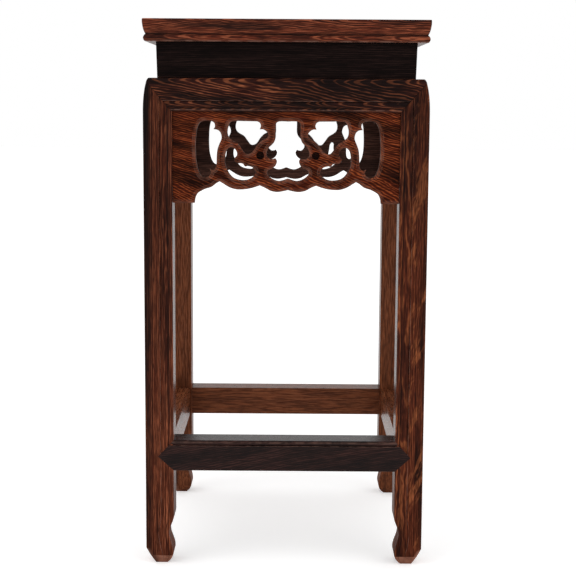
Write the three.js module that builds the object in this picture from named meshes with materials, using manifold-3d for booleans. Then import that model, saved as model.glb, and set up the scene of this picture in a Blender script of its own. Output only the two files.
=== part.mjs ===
// Small square display stand in hardwood: a framed top over a recessed waist, moulded rails,
// pierced dragon aprons, four shaped legs and four low stretchers.
// Millimetres, +Z up, origin on the floor under the middle of the stand, front towards -Y.

import * as THREE from 'three';
import { mergeVertices } from 'three/addons/utils/BufferGeometryUtils.js';
import Module from 'manifold-3d';

const wasm = await Module();
wasm.setup();

// Overall sizes
const standWidth = 150;
const standHeight = 292.6;
const topThickness = 11.6;
const waistHeight = 18.8;
const waistSetBack = 6.6;
const waistLean = 0.5;
const railHeight = 17.3;

// Sections of the pieces
const legWidth = 15.2;
const waistThickness = 4;
const railDepth = 11;
const apronThickness = 5;
const apronRecess = 1.8;
const stretcherHeight = 16.7;
const stretcherDepth = 14.2;
const stretcherLift = 52.3;

// Framed top
const frameWidth = 22;
const panelThickness = 7;
const panelTongueThickness = 2.6;
const panelTongueReach = 3;
const panelTongueDrop = 2.8;
const battenWidth = 14;
const battenHeight = 4;
const battenKeyHeight = 2.4;
const battenKeyNeck = 8;
const battenTenonReach = 3;
const frameTenonThickness = 3;
const frameTenonWidth = 6;
const frameTenonReach = 11.5;
const frameTenonInset = 12;
const battenKeyTaper = 1;
const edgeGrooveDepth = 1.7;
const edgeBeadHeight = 3.7;
const edgeLean = 1.2;
const edgeEaseHeight = 1.5;
const edgeEaseDepth = 0.4;

// Shoulder where rails and legs are shaped together
const shoulderSet = 3.2;
const shoulderDrop = 18;
const mitreDepth = 5;

// Pairs of rounded reeds along the inner edges of legs and rails: a narrow bead and a wide band.
// Stretchers have a single bead on the upper edge.
const reedDepth = 0.6;
const reedCrown = 0.8;
const legBeadWidth = 2.5;
const legBandWidth = 4.3;
const railBeadWidth = 2.1;
const railBandWidth = 3.4;
const stretcherBeadWidth = 2.9;

// Feet
const footHeight = 8.9;
const footSetOut = 5;
const footBottomInner = 11.4;
const footWaistHeight = 17.4;
const footWaistWidth = 12.5;
const footHeelHeight = 6.2;
const footHeelWidth = 14.8;
const footCurveTop = 27;
const footFrontHeight = 4.6;
const footFrontSet = 2.4;
const footCurveShare = 0.42;

// Joints
const seam = 0.2;
const fit = 0.3;
const tongueThickness = 2.4;
const tongueReach = 2;
const tenonReach = 4.8;
const tenonThickness = 3.4;
const railTenonShoulder = 4;
const stretcherTenonHeight = 9;
const stretcherShoulderDepth = 4;
const stretcherTipDrop = 0.7;
const postTenonReach = 3;

// Aprons
const apronDrop = 47.9;
const eyeRadius = 2.1;
const eyeDepth = 3.4;
const eyePlace = [14.6, 22.8];
const pointsPerSpan = 2;

// Levels and planes that follow from the sizes
const half = standWidth / 2;
const topBottom = standHeight - topThickness;
const railTop = topBottom - waistHeight;
const railBottom = railTop - railHeight;
const legInner = half - legWidth;
const stretcherTop = stretcherLift + stretcherHeight;
const waistHalfAbove = half - waistSetBack;
const waistHalfBelow = waistHalfAbove - waistLean;
const waistInner = waistHalfBelow - waistThickness;
const waistTongueMiddle = waistInner + waistThickness / 2;
const apronFront = half - apronRecess;
const apronBack = apronFront - apronThickness;
const apronTongueMiddle = (apronFront + apronBack) / 2;
const postOuter = waistInner - fit;
const frameInner = half - frameWidth;
const frameTenonLevel = topBottom + topThickness / 2;
const frameTenonFar = half - frameTenonInset;
const frameTenonNear = frameTenonFar - frameTenonWidth;
const panelBottom = standHeight - panelThickness;
const panelTongueTop = standHeight - panelTongueDrop;
const battenTop = panelBottom;
const battenBottom = battenTop - battenHeight;
const mitreSlope = railHeight / legWidth;
const tenonSetBack = mitreDepth + 1;
const stretcherMiddle = stretcherLift + stretcherHeight / 2;
const stretcherTipLevel = stretcherMiddle - stretcherTipDrop;
const stretcherTenonSetBack = stretcherShoulderDepth + 1;

// Solid helpers

function toSolid(geometry) {
  geometry.deleteAttribute('normal');
  geometry.deleteAttribute('uv');
  const merged = mergeVertices(geometry, 1e-4);
  return new wasm.Manifold(new wasm.Mesh({
    numProp: 3,
    vertProperties: new Float32Array(merged.attributes.position.array),
    triVerts: new Uint32Array(merged.index.array),
  }));
}

function toGeometry(solid) {
  const mesh = solid.getMesh();
  const geometry = new THREE.BufferGeometry();
  geometry.setAttribute('position', new THREE.BufferAttribute(new Float32Array(mesh.vertProperties), 3));
  geometry.setIndex(new THREE.BufferAttribute(new Uint32Array(mesh.triVerts), 1));
  geometry.computeVertexNormals();
  return geometry;
}

// A block between two values on each axis, given in either order.
function block(x0, x1, y0, y1, z0, z1) {
  const geometry = new THREE.BoxGeometry(Math.abs(x1 - x0), Math.abs(y1 - y0), Math.abs(z1 - z0));
  geometry.translate((x0 + x1) / 2, (y0 + y1) / 2, (z0 + z1) / 2);
  return toSolid(geometry);
}

// A shape drawn on one of the planes and carried along the third axis from one value to another.
// 'y' takes a front elevation (x, z), 'x' a side elevation (y, z), 'z' a plan (x, y).
function prism(shape, axis, from, to, curveSegments = 6) {
  const low = Math.min(from, to);
  const depth = Math.abs(to - from);
  const geometry = new THREE.ExtrudeGeometry(shape, { depth, bevelEnabled: false, curveSegments });
  if (axis === 'y') {
    geometry.rotateX(Math.PI / 2);
    geometry.translate(0, low + depth, 0);
  } else if (axis === 'x') {
    const turn = new THREE.Matrix4().makeBasis(
      new THREE.Vector3(0, 1, 0), new THREE.Vector3(0, 0, 1), new THREE.Vector3(1, 0, 0));
    geometry.applyMatrix4(turn);
    geometry.translate(low, 0, 0);
  } else {
    geometry.translate(0, 0, low);
  }
  return toSolid(geometry);
}

function polygon(points) {
  return new THREE.Shape(points.map(([a, b]) => new THREE.Vector2(a, b)));
}

function union(solids) {
  return solids.reduce((whole, solid) => whole.add(solid));
}

function cut(solid, tools) {
  return tools.reduce((rest, tool) => rest.subtract(tool), solid);
}

// The quarter of the plan that belongs to the front side, kept back from the mitres at its ends.
function frontQuarter(z0, z1) {
  const reach = half + legWidth;
  const outline = polygon([[0, -seam / 2], [-reach, -reach - seam / 2], [reach, -reach - seam / 2]]);
  return prism(outline, 'z', z0, z1);
}

// The waste that is cut away over a rounded reed. start and end are its places across the face, face
// the plane that it is worked from and inwards +1 or -1. The shape is (across, depth), or
// (depth, across) when turned.
function reedWaste(start, end, face, inwards, turned) {
  const place = (across, level) => (turned ? [level, across] : [across, level]);
  const root = face + inwards * reedDepth;
  const crown = face - inwards * reedDepth * reedCrown;
  const shape = new THREE.Shape();
  shape.moveTo(...place(start, face - inwards));
  shape.lineTo(...place(start, root));
  shape.quadraticCurveTo(...place((start + end) / 2, crown), ...place(end, root));
  shape.lineTo(...place(end, face - inwards));
  return shape;
}

// Rounded shoulder that rails and legs share, as an outline across the stand.
function shoulderOutline() {
  const clear = half + 1;
  const start = railTop - shoulderDrop;
  const quarter = Math.PI / 2;
  const shape = new THREE.Shape();
  shape.moveTo(-clear, -1);
  shape.lineTo(clear, -1);
  shape.lineTo(clear, start);
  shape.absellipse(half - shoulderSet, start, shoulderSet, shoulderDrop, 0, quarter);
  shape.absellipse(shoulderSet - half, start, shoulderSet, shoulderDrop, quarter, 2 * quarter);
  shape.lineTo(-clear, start);
  return shape;
}

function shoulderEnvelope() {
  const outline = shoulderOutline();
  const reach = half + 2;
  return prism(outline, 'y', -reach, reach, 10).intersect(prism(outline, 'x', -reach, reach, 10));
}

const envelope = shoulderEnvelope();

// Legs

// A stretch of the foot's curve that starts and ends upright.
function swell(shape, place, fromWidth, fromHeight, toWidth, toHeight) {
  const pull = (toHeight - fromHeight) * footCurveShare;
  shape.bezierCurveTo(place(fromWidth), fromHeight + pull, place(toWidth), toHeight - pull,
    place(toWidth), toHeight);
}

// Outline of a leg seen square on: place turns a distance in from the outer face into a coordinate.
function legOutline(place, chamferHeight, chamferSet) {
  const shape = new THREE.Shape();
  shape.moveTo(place(chamferSet), 0);
  shape.lineTo(place(footBottomInner), 0);
  shape.quadraticCurveTo(place(footHeelWidth), footHeelHeight * footCurveShare,
    place(footHeelWidth), footHeelHeight);
  swell(shape, place, footHeelWidth, footHeelHeight, footWaistWidth, footWaistHeight);
  swell(shape, place, footWaistWidth, footWaistHeight, legWidth, footCurveTop);
  shape.lineTo(place(legWidth), railTop);
  shape.lineTo(place(0), railTop);
  shape.lineTo(place(0), chamferHeight);
  return shape;
}

// End of a rail in front elevation: the triangle above the mitre with the leg.
function railEndOutline(place, gap) {
  return polygon([
    [place(legWidth + 1), railBottom - gap],
    [place(legWidth), railBottom - gap],
    [place(-1), railTop + mitreSlope - gap],
    [place(legWidth + 1), railTop + 2],
  ]);
}

// Pointed shoulder of a stretcher in front elevation, grown by gap.
function stretcherPointOutline(place, gap) {
  const rise = stretcherHeight / 2 + gap;
  return polygon([
    [place(legWidth + 1), stretcherMiddle - rise],
    [place(legWidth), stretcherMiddle - rise],
    [place(legWidth - rise), stretcherTipLevel],
    [place(legWidth), stretcherMiddle + rise],
    [place(legWidth + 1), stretcherMiddle + rise],
  ]);
}

// side is -1 for the front left leg and +1 for the front right leg.
function legSolid(side) {
  const inX = (a) => side * (half - a);
  const inY = (a) => -(half - a);
  const front = -half;
  const outer = side * half;
  const tongueHalf = tongueThickness / 2 + fit;

  const body = prism(legOutline(inX, footHeight, footSetOut), 'y', front, -legInner + 1)
    .intersect(prism(legOutline(inY, footFrontHeight, footFrontSet), 'x', outer, side * (legInner - 1)))
    .intersect(envelope);
  const cuts = [];

  // Mitred seats of the two rails, and the mortises behind them
  cuts.push(prism(railEndOutline(inX, seam), 'y', front - 1, front + mitreDepth + seam));
  cuts.push(prism(railEndOutline(inY, seam), 'x', outer + side, outer - side * (mitreDepth + seam)));
  const railMortise = [railBottom + railTenonShoulder - fit, railTop - railTenonShoulder + fit];
  const reach = legInner + tenonReach + fit;
  cuts.push(block(side * (legInner - 1), side * reach,
    front + tenonSetBack - fit, front + tenonSetBack + tenonThickness + fit, ...railMortise));
  cuts.push(block(outer - side * (tenonSetBack - fit), outer - side * (tenonSetBack + tenonThickness + fit),
    -legInner + 1, -reach, ...railMortise));

  // Grooves for the tongues of the two aprons
  const grooveFoot = railBottom - apronDrop - fit;
  const grooveReach = legInner + tongueReach + fit;
  cuts.push(block(side * (legInner - 1), side * grooveReach,
    -apronTongueMiddle - tongueHalf, -apronTongueMiddle + tongueHalf, grooveFoot, railBottom + 1));
  cuts.push(block(side * (apronTongueMiddle - tongueHalf), side * (apronTongueMiddle + tongueHalf),
    -legInner + 1, -grooveReach, grooveFoot, railBottom + 1));

  // Pointed seats and mortises of the two stretchers
  cuts.push(prism(stretcherPointOutline(inX, seam), 'y', front - 1, front + stretcherShoulderDepth + seam));
  cuts.push(prism(stretcherPointOutline(inY, seam), 'x', outer + side,
    outer - side * (stretcherShoulderDepth + seam)));
  const setBack = stretcherTenonSetBack;
  const tenonHalf = stretcherTenonHeight / 2 + fit;
  const mortise = [stretcherMiddle - tenonHalf, stretcherMiddle + tenonHalf];
  cuts.push(block(side * (legInner - 1), side * reach,
    front + setBack - fit, front + setBack + tenonThickness + fit, ...mortise));
  cuts.push(block(outer - side * (setBack - fit), outer - side * (setBack + tenonThickness + fit),
    -legInner + 1, -reach, ...mortise));

  // Reeds on the two outer faces, which start behind the stretchers' points
  const reeds = [
    [legWidth, legWidth - legBeadWidth],
    [legWidth - legBeadWidth, legWidth - legBeadWidth - legBandWidth],
  ];
  for (const [start, end] of reeds) {
    cuts.push(prism(reedWaste(inX(start), inX(end), front, 1, false), 'z', stretcherTipLevel, railTop));
    cuts.push(prism(reedWaste(inY(start), inY(end), outer, -side, true), 'z', stretcherTipLevel, railTop));
  }

  const post = block(side * legInner, side * postOuter, -legInner, -postOuter, railTop - 1,
    topBottom + postTenonReach);
  return cut(body, cuts).add(post);
}

// Rails

function railSolid() {
  const front = -half;
  const inner = legInner - seam;
  const faceShape = polygon([
    [-inner, railBottom], [inner, railBottom],
    [half, railTop - mitreSlope * seam], [half, railTop],
    [-half, railTop], [-half, railTop - mitreSlope * seam],
  ]);
  const face = prism(faceShape, 'y', front, front + mitreDepth);
  const core = block(-inner, inner, front, front + railDepth, railBottom, railTop);
  const tenons = block(-(legInner + tenonReach), legInner + tenonReach,
    front + tenonSetBack, front + tenonSetBack + tenonThickness,
    railBottom + railTenonShoulder, railTop - railTenonShoulder);
  const bandFoot = railBottom + railBeadWidth;
  const tongueHalf = tongueThickness / 2 + fit;
  const cuts = [
    // Reeds on the lower edge
    prism(reedWaste(railBottom, bandFoot, front, 1, true), 'x', -half, half),
    prism(reedWaste(bandFoot, bandFoot + railBandWidth, front, 1, true), 'x', -half, half),
    // Groove for the apron underneath
    block(-half, half, -apronTongueMiddle - tongueHalf, -apronTongueMiddle + tongueHalf,
      railBottom - 1, railBottom + tongueReach + fit),
    // Groove for the waist on top
    block(-legInner, legInner, -waistTongueMiddle - tongueThickness / 2 - fit / 2,
      -waistTongueMiddle + tongueThickness / 2 + fit / 2, railTop - tongueReach - fit, railTop + 1),
  ];
  return cut(union([face, core, tenons]).intersect(envelope).intersect(frontQuarter(0, standHeight)), cuts);
}

// Stretchers

function stretcherSolid() {
  const front = -half;
  const inner = legInner - seam;
  const rise = stretcherHeight / 2;
  const faceShape = polygon([
    [-inner, stretcherLift], [inner, stretcherLift], [inner + rise, stretcherTipLevel],
    [inner, stretcherTop], [-inner, stretcherTop], [-inner - rise, stretcherTipLevel],
  ]);
  const core = block(-inner, inner, front, front + stretcherDepth, stretcherLift, stretcherTop);
  const face = prism(faceShape, 'y', front, front + stretcherShoulderDepth);
  const tenons = block(-(legInner + tenonReach), legInner + tenonReach,
    front + stretcherTenonSetBack, front + stretcherTenonSetBack + tenonThickness,
    stretcherMiddle - stretcherTenonHeight / 2, stretcherMiddle + stretcherTenonHeight / 2);
  const waste = reedWaste(stretcherTop - stretcherBeadWidth, stretcherTop, front, 1, true);
  return cut(union([core, face, tenons]), [prism(waste, 'x', -half, half)]);
}

// Waist

function waistSolid() {
  const board = prism(polygon([
    [-waistInner, railTop], [-waistHalfBelow, railTop],
    [-waistHalfAbove, topBottom], [-waistInner, topBottom],
  ]), 'x', -half, half);
  const mitred = board.intersect(frontQuarter(railTop - 1, topBottom + 1));
  const across = [-waistTongueMiddle - tongueThickness / 2, -waistTongueMiddle + tongueThickness / 2];
  const reach = legInner - fit;
  const lower = block(-reach, reach, ...across, railTop - tongueReach, railTop + 1);
  const upper = block(-reach, reach, ...across, topBottom - 1, topBottom + tongueReach);
  return union([mitred, lower, upper]);
}

// Aprons
// Every outline below is drawn for the right half, as [distance from the middle, depth below the rail].

// Lower edge from the end of the apron to the middle: each run is one smooth stretch between cusps.
const lowerEdgeRuns = [
  [[49.2, 47.9], [48.9, 45.6], [47.9, 43.3], [46.3, 41.9], [43.3, 40.4], [40.2, 39.4], [37.7, 37.5],
    [35.9, 36.5]],
  [[35.9, 36.5], [33.6, 37.9], [30.7, 39.6], [26.6, 40.7], [21.4, 40.4], [17.3, 39.4], [14.9, 38.5]],
  [[14.9, 38.5], [12.1, 39.7], [9.1, 41.3], [5.6, 41.9], [2.6, 41.5], [0, 40.9]],
];

// Long leaf-shaped opening behind the dragon's tail
const leafRuns = [
  [[43.4, 4.8], [46.2, 5.7], [48, 9.6], [48.6, 16.7], [48.5, 24], [47.6, 29.5], [45.8, 33.3], [43.4, 34.4],
    [41.2, 33.4], [40.5, 31.7], [41.2, 29.9]],
  [[41.2, 29.9], [39.6, 30.6], [38.2, 29.6], [37.6, 27.5], [37.5, 23.5], [37.1, 19.9], [36, 16.7],
    [34.9, 13.8], [35.5, 10.9], [37.1, 9.5], [39.2, 9.2]],
  [[39.2, 9.2], [38.4, 7.9], [38.7, 6], [40.5, 4.9], [43.4, 4.8]],
];

// Opening between the tail and the crest
const crestRuns = [
  [[16.4, 5], [23, 4.9], [29.6, 5.1], [31.3, 7.6], [31.9, 10.8], [31.1, 13.4], [29, 15.1], [26.5, 16.6],
    [24.4, 19.4], [22.4, 21.8], [20.3, 21.9], [18.4, 20.6], [16.4, 17.6], [14, 15.2], [11.4, 13.8],
    [10.4, 11.9], [11.4, 10.2], [13.2, 9.1], [14.9, 9.2]],
  [[14.9, 9.2], [14.3, 7.3], [15, 5.6], [16.4, 5]],
];

// Opening inside the curled body
const coilRuns = [
  [[28.4, 24.4], [26.9, 22.8], [27, 20.8], [28.4, 19], [30.4, 18.6], [32.4, 20.4], [33.2, 24.6],
    [32.8, 28.5], [31, 32.2], [28.6, 34.7], [25.2, 35.8], [21.5, 35.7], [18.6, 34.2], [17.1, 32.2],
    [17.5, 30.2], [19.1, 28.8], [21.4, 28.3]],
  [[21.4, 28.3], [22.6, 28.6], [23.6, 27.2], [25.2, 26.9]],
  [[25.2, 26.9], [26.6, 26.9], [28, 25.9], [28.4, 24.4]],
];

// Right half of the opening between the two heads, from the top to the bottom
const middleRuns = [
  [[0, 5], [4.8, 5], [6.5, 6.8], [6.5, 12.8], [7.5, 16], [9.9, 18.4]],
  [[9.9, 18.4], [11.1, 20.6], [11.1, 23], [9.2, 24.8], [6.7, 24.3]],
  [[6.7, 24.3], [5.8, 25.8], [6.4, 27.8], [8.1, 29.4], [10.4, 30.5], [11, 32.3], [9.6, 34.2], [7, 35.7],
    [4.2, 36.2], [0, 35]],
];

// The back apron's curled bodies, cut by hand with smaller openings: seen from behind, left and right
const backCoilLeftRuns = [
  [[21.2, 35.7], [22.9, 34.3], [25, 32.9], [26.4, 30.8], [26.4, 27.3], [26.9, 24.5], [27.2, 21.8],
    [28.5, 20.1], [29.7, 21.2], [29.6, 23.6], [30.2, 26.6], [31.6, 29.4], [31.8, 31.5], [31, 33.2],
    [28.5, 35.4], [25.8, 36.7], [22.8, 37], [21.2, 35.7]],
];
const backCoilRightRuns = [
  [[20, 35.6], [21.2, 34], [24.6, 32.9], [27.4, 31.2], [29.1, 27.9], [30, 25.3], [31.4, 24],
    [32.9, 24.7], [33.3, 27], [33, 29.4], [31.9, 31.7], [30.3, 33.9], [28.5, 35.6], [25.7, 36.7],
    [21.8, 37], [20, 35.6]],
];

// What differs between the carvings: how far they lie to the right of the middle, how much deeper the
// lower edge and the middle opening are drawn, and the openings inside the curled bodies.
const frontCarving = { shift: 1, stretch: 1, coilLeft: coilRuns, coilRight: coilRuns };
const backCarving = { shift: 0.4, stretch: 1.03, coilLeft: backCoilLeftRuns, coilRight: backCoilRightRuns };

// A spot of an outline on the elevation, mirrored by side.
function carvedSpot([x, d], side, shift, stretch) {
  return new THREE.Vector2(side * x + shift, railBottom - Math.min(d * stretch, apronDrop));
}

// Points along smooth runs; each run leaves its last point to the next.
function runPoints(runs, side, shift, stretch = 1) {
  const points = [];
  for (const run of runs) {
    const curve = new THREE.SplineCurve(run.map((spot) => carvedSpot(spot, side, shift, stretch)));
    points.push(...curve.getPoints((run.length - 1) * pointsPerSpan).slice(0, -1));
  }
  return points;
}

function lastPoint(runs, shift, stretch) {
  return carvedSpot(runs.at(-1).at(-1), 1, shift, stretch);
}

function apronOutline(halfWidth, { shift, stretch }) {
  const foot = railBottom - apronDrop;
  return new THREE.Shape([
    new THREE.Vector2(halfWidth, railBottom),
    new THREE.Vector2(halfWidth, foot),
    ...runPoints(lowerEdgeRuns, 1, shift, stretch),
    lastPoint(lowerEdgeRuns, shift, stretch),
    ...runPoints(lowerEdgeRuns, -1, shift, stretch).reverse(),
    new THREE.Vector2(-halfWidth, foot),
    new THREE.Vector2(-halfWidth, railBottom),
  ]);
}

function apronOpenings({ shift, stretch, coilLeft, coilRight }) {
  const openings = [];
  for (const side of [-1, 1]) {
    for (const runs of [leafRuns, crestRuns, side < 0 ? coilLeft : coilRight]) {
      openings.push(new THREE.Shape(runPoints(runs, side, shift)));
    }
  }
  openings.push(new THREE.Shape([
    ...runPoints(middleRuns, 1, shift, stretch),
    lastPoint(middleRuns, shift, stretch),
    ...runPoints(middleRuns, -1, shift, stretch).slice(1).reverse(),
  ]));
  return openings;
}

// The dragons' eyes are drilled pits that stop inside the board.
function apronEyes({ shift }) {
  return [-1, 1].map((side) => {
    const eye = new THREE.Shape();
    eye.absarc(side * eyePlace[0] + shift, railBottom - eyePlace[1], eyeRadius, 0, 2 * Math.PI);
    return prism(eye, 'y', -apronFront - 1, -apronFront + eyeDepth, 8);
  });
}

function apronSolid(carving) {
  const inner = legInner - seam;
  const board = prism(apronOutline(inner, carving), 'y', -apronFront, -apronBack);
  const through = [-apronFront - 1, -apronBack + 1];
  const pierced = apronOpenings(carving).map((shape) => prism(shape, 'y', ...through, 8));
  const across = [-apronTongueMiddle - tongueThickness / 2, -apronTongueMiddle + tongueThickness / 2];
  const foot = railBottom - apronDrop;
  const reach = legInner + tongueReach;
  const ends = [-1, 1].map((side) => block(side * (inner - 1), side * reach, ...across, foot, railBottom));
  const above = block(-inner, inner, ...across, railBottom - 1, railBottom + tongueReach);
  return union([cut(board, [...pierced, ...apronEyes(carving)]), ...ends, above]);
}

// Framed top

function frameProfile() {
  const face = -half;
  const grooveLevel = topBottom + edgeBeadHeight;
  const easeLevel = standHeight - edgeEaseHeight;
  const shape = new THREE.Shape();
  shape.moveTo(-frameInner, topBottom);
  shape.lineTo(face + edgeLean, topBottom);
  shape.quadraticCurveTo(face - edgeLean / 3, topBottom + edgeBeadHeight / 2,
    face + edgeGrooveDepth, grooveLevel);
  shape.quadraticCurveTo(face + edgeLean / 3, (grooveLevel * 2 + easeLevel) / 3, face, easeLevel);
  shape.lineTo(face + edgeEaseDepth, standHeight);
  shape.lineTo(-frameInner, standHeight);
  return shape;
}

function frameMember() {
  const bar = prism(frameProfile(), 'x', -half - 1, half + 1, 5)
    .intersect(frontQuarter(topBottom - 1, standHeight + 1));
  const cuts = [
    // Groove for the floating panel
    block(-half, half, -frameInner - panelTongueReach - fit, -frameInner + 1,
      panelTongueTop - panelTongueThickness - fit, panelTongueTop + fit),
    // Groove for the waist tongue
    block(-legInner, legInner, -waistTongueMiddle - tongueThickness / 2 - fit / 2,
      -waistTongueMiddle + tongueThickness / 2 + fit / 2, topBottom - 1, topBottom + tongueReach + fit),
  ];
  // Sockets of the leg posts at the mitres
  for (const side of [-1, 1]) {
    cuts.push(block(side * (legInner - fit), side * (postOuter + fit), -legInner + fit, -postOuter - fit,
      topBottom - 1, topBottom + postTenonReach + fit));
  }
  return cut(bar, cuts);
}

// Front and back members carry the tenons of the mitres and the sockets of the batten.
function tenonedMember() {
  const level = frameTenonThickness / 2;
  const tenons = [-1, 1].map((side) => block(side * frameTenonNear, side * (frameTenonNear + frameTenonReach),
    -frameTenonFar, -frameTenonNear, frameTenonLevel - level, frameTenonLevel + level));
  const socket = block(-battenWidth / 2 - fit, battenWidth / 2 + fit,
    -frameInner - battenTenonReach - fit, -frameInner + 1, battenBottom - fit, battenTop + fit);
  return cut(union([frameMember(), ...tenons]), [socket]);
}

// Side members carry the mortises. They are drawn on the front like the others and turned later.
function mortisedMember() {
  const level = frameTenonThickness / 2 + fit;
  const mortises = [-1, 1].map((side) => block(
    side * (frameTenonNear - fit), side * (frameTenonFar + fit),
    -(frameTenonNear + frameTenonReach + fit), -(frameTenonNear - fit),
    frameTenonLevel - level, frameTenonLevel + level));
  return cut(frameMember(), mortises);
}

// Floating panel and the dovetailed batten beneath it

function battenKeyOutline(grow) {
  const neck = battenKeyNeck / 2 + grow;
  const head = battenWidth / 2 - battenKeyTaper + grow;
  const headLevel = battenTop + battenKeyHeight + grow;
  return polygon([
    [-neck, battenTop - 1], [neck, battenTop - 1], [neck, battenTop],
    [head, headLevel], [-head, headLevel], [-neck, battenTop],
  ]);
}

function panelSolid() {
  const size = frameInner - seam;
  const tongue = frameInner + panelTongueReach;
  const board = block(-size, size, -size, size, panelBottom, standHeight);
  const tongues = block(-tongue, tongue, -tongue, tongue,
    panelTongueTop - panelTongueThickness, panelTongueTop);
  return cut(board.add(tongues), [prism(battenKeyOutline(fit / 2), 'y', -half, half)]);
}

function battenSolid() {
  const size = frameInner - fit;
  const tenonEnd = frameInner + battenTenonReach;
  const body = block(-battenWidth / 2, battenWidth / 2, -tenonEnd, tenonEnd, battenBottom, battenTop);
  const key = prism(battenKeyOutline(0), 'y', -size, size);
  return body.add(key);
}

// Woods of the pieces

const woods = {
  top: { color: 0x5e3424, roughness: 0.42 },
  waist: { color: 0x1d1515, roughness: 0.5 },
  rail: { color: 0x42271d, roughness: 0.42 },
  leg: { color: 0x4f2e20, roughness: 0.42 },
  apron: { color: 0x562a1a, roughness: 0.45 },
  stretcher: { color: 0x2c1e1c, roughness: 0.45 },
  inside: { color: 0x4a2e20, roughness: 0.6 },
};

function woodMesh(name, geometry, wood) {
  const material = new THREE.MeshStandardMaterial({ ...woods[wood], metalness: 0 });
  const mesh = new THREE.Mesh(geometry, material);
  mesh.name = name;
  return mesh;
}

// Assembly

const stand = new THREE.Group();
const sideNames = ['front', 'right', 'back', 'left'];
const sharedPieces = [
  ['rail', toGeometry(railSolid())],
  ['stretcher', toGeometry(stretcherSolid())],
  ['waist', toGeometry(waistSolid())],
];

const frontApron = toGeometry(apronSolid(frontCarving));
const backApron = toGeometry(apronSolid(backCarving));
const frontAndBackMember = toGeometry(tenonedMember());
const sideMember = toGeometry(mortisedMember());

sideNames.forEach((name, turn) => {
  const sideGroup = new THREE.Group();
  sideGroup.rotation.z = (turn * Math.PI) / 2;
  for (const [piece, geometry] of sharedPieces) {
    sideGroup.add(woodMesh(`${piece}_${name}`, geometry, piece));
  }
  sideGroup.add(woodMesh(`apron_${name}`, name === 'back' ? backApron : frontApron, 'apron'));
  sideGroup.add(woodMesh(`top_frame_${name}`, turn % 2 === 0 ? frontAndBackMember : sideMember, 'top'));
  stand.add(sideGroup);
});

const legLeft = toGeometry(legSolid(-1));
const legRight = toGeometry(legSolid(1));
const legPlaces = [
  ['leg_front_left', legLeft, 0],
  ['leg_front_right', legRight, 0],
  ['leg_back_right', legLeft, Math.PI],
  ['leg_back_left', legRight, Math.PI],
];
for (const [name, geometry, turn] of legPlaces) {
  const leg = woodMesh(name, geometry, 'leg');
  leg.rotation.z = turn;
  stand.add(leg);
}

stand.add(woodMesh('top_panel', toGeometry(panelSolid()), 'top'));
stand.add(woodMesh('top_batten', toGeometry(battenSolid()), 'inside'));

export default stand;
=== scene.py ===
from math import pi, radians

import bpy
import numpy as np
from mathutils import Matrix, Vector
from mathutils.geometry import delaunay_2d_cdt


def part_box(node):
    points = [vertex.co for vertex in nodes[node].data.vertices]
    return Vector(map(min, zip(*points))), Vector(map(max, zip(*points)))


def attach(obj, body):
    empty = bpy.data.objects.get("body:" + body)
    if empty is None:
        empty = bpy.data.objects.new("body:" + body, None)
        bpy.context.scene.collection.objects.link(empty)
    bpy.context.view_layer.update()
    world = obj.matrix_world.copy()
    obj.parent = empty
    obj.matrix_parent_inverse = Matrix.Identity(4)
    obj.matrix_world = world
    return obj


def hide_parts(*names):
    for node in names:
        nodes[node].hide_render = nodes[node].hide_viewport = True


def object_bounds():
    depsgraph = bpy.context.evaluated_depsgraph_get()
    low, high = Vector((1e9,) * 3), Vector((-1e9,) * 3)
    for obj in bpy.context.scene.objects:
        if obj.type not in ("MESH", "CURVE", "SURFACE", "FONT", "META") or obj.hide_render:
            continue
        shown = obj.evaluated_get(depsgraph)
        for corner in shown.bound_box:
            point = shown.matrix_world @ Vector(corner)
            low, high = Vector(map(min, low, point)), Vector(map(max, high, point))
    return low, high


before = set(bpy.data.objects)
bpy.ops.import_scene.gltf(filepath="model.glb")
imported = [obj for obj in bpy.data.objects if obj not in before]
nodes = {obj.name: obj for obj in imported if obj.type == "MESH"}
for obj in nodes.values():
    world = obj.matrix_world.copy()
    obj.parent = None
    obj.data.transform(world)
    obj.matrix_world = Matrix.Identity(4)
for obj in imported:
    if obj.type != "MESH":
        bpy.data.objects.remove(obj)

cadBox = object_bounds()
sideNames = ["front", "right", "back", "left"]
mm = 0.001

# Sizes read from the frame, in millimetres

def nodeBox(name):
    return np.array(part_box(name)) / mm


half = cadBox[1][0] / mm
height = cadBox[1][2] / mm
railBox = nodeBox("rail_front")
legBox = nodeBox("leg_front_left")
slabBox = nodeBox("top_frame_front")
apronBox = nodeBox("apron_front")
stretcherBox = nodeBox("stretcher_front")
railFoot, railTop = railBox[:, 2]
railDepth = railBox[1, 1] - railBox[0, 1]
legWidth = legBox[1, 0] - legBox[0, 0]
legInner = half - legWidth
slabFoot = slabBox[0, 2]
slabDepth = slabBox[1, 1] - slabBox[0, 1]
apronFace = half + apronBox[0, 1]
apronDepth = apronBox[1, 1] - apronBox[0, 1]
stretcherFoot, stretcherTop = stretcherBox[:, 2]
stretcherDepth = stretcherBox[1, 1] - stretcherBox[0, 1]

seam = 0.1          # half of the gap between two pieces
legSetBack = 0.06   # legs lie this far behind the stretchers' points, so that the points read
mitreDepth = 5
mitreSlope = (railTop - railFoot) / legWidth


# Mesh helpers

def newPiece(name, points, faces, replaced, marks=None, sharp=32):
    # points are millimetres in the frame, marks a dictionary of values per point
    mesh = bpy.data.meshes.new(name)
    mesh.from_pydata((np.asarray(points) * mm).tolist(), [], faces)
    for key, values in (marks or {}).items():
        layer = mesh.attributes.new(key, "FLOAT", "POINT")
        layer.data.foreach_set("value", np.asarray(values, dtype=np.float32))
    mesh.shade_smooth()
    mesh.set_sharp_from_angle(angle=radians(sharp))
    piece = bpy.data.objects.new(name, mesh)
    bpy.context.scene.collection.objects.link(piece)
    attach(piece, "root")
    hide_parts(replaced)
    return piece


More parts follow.
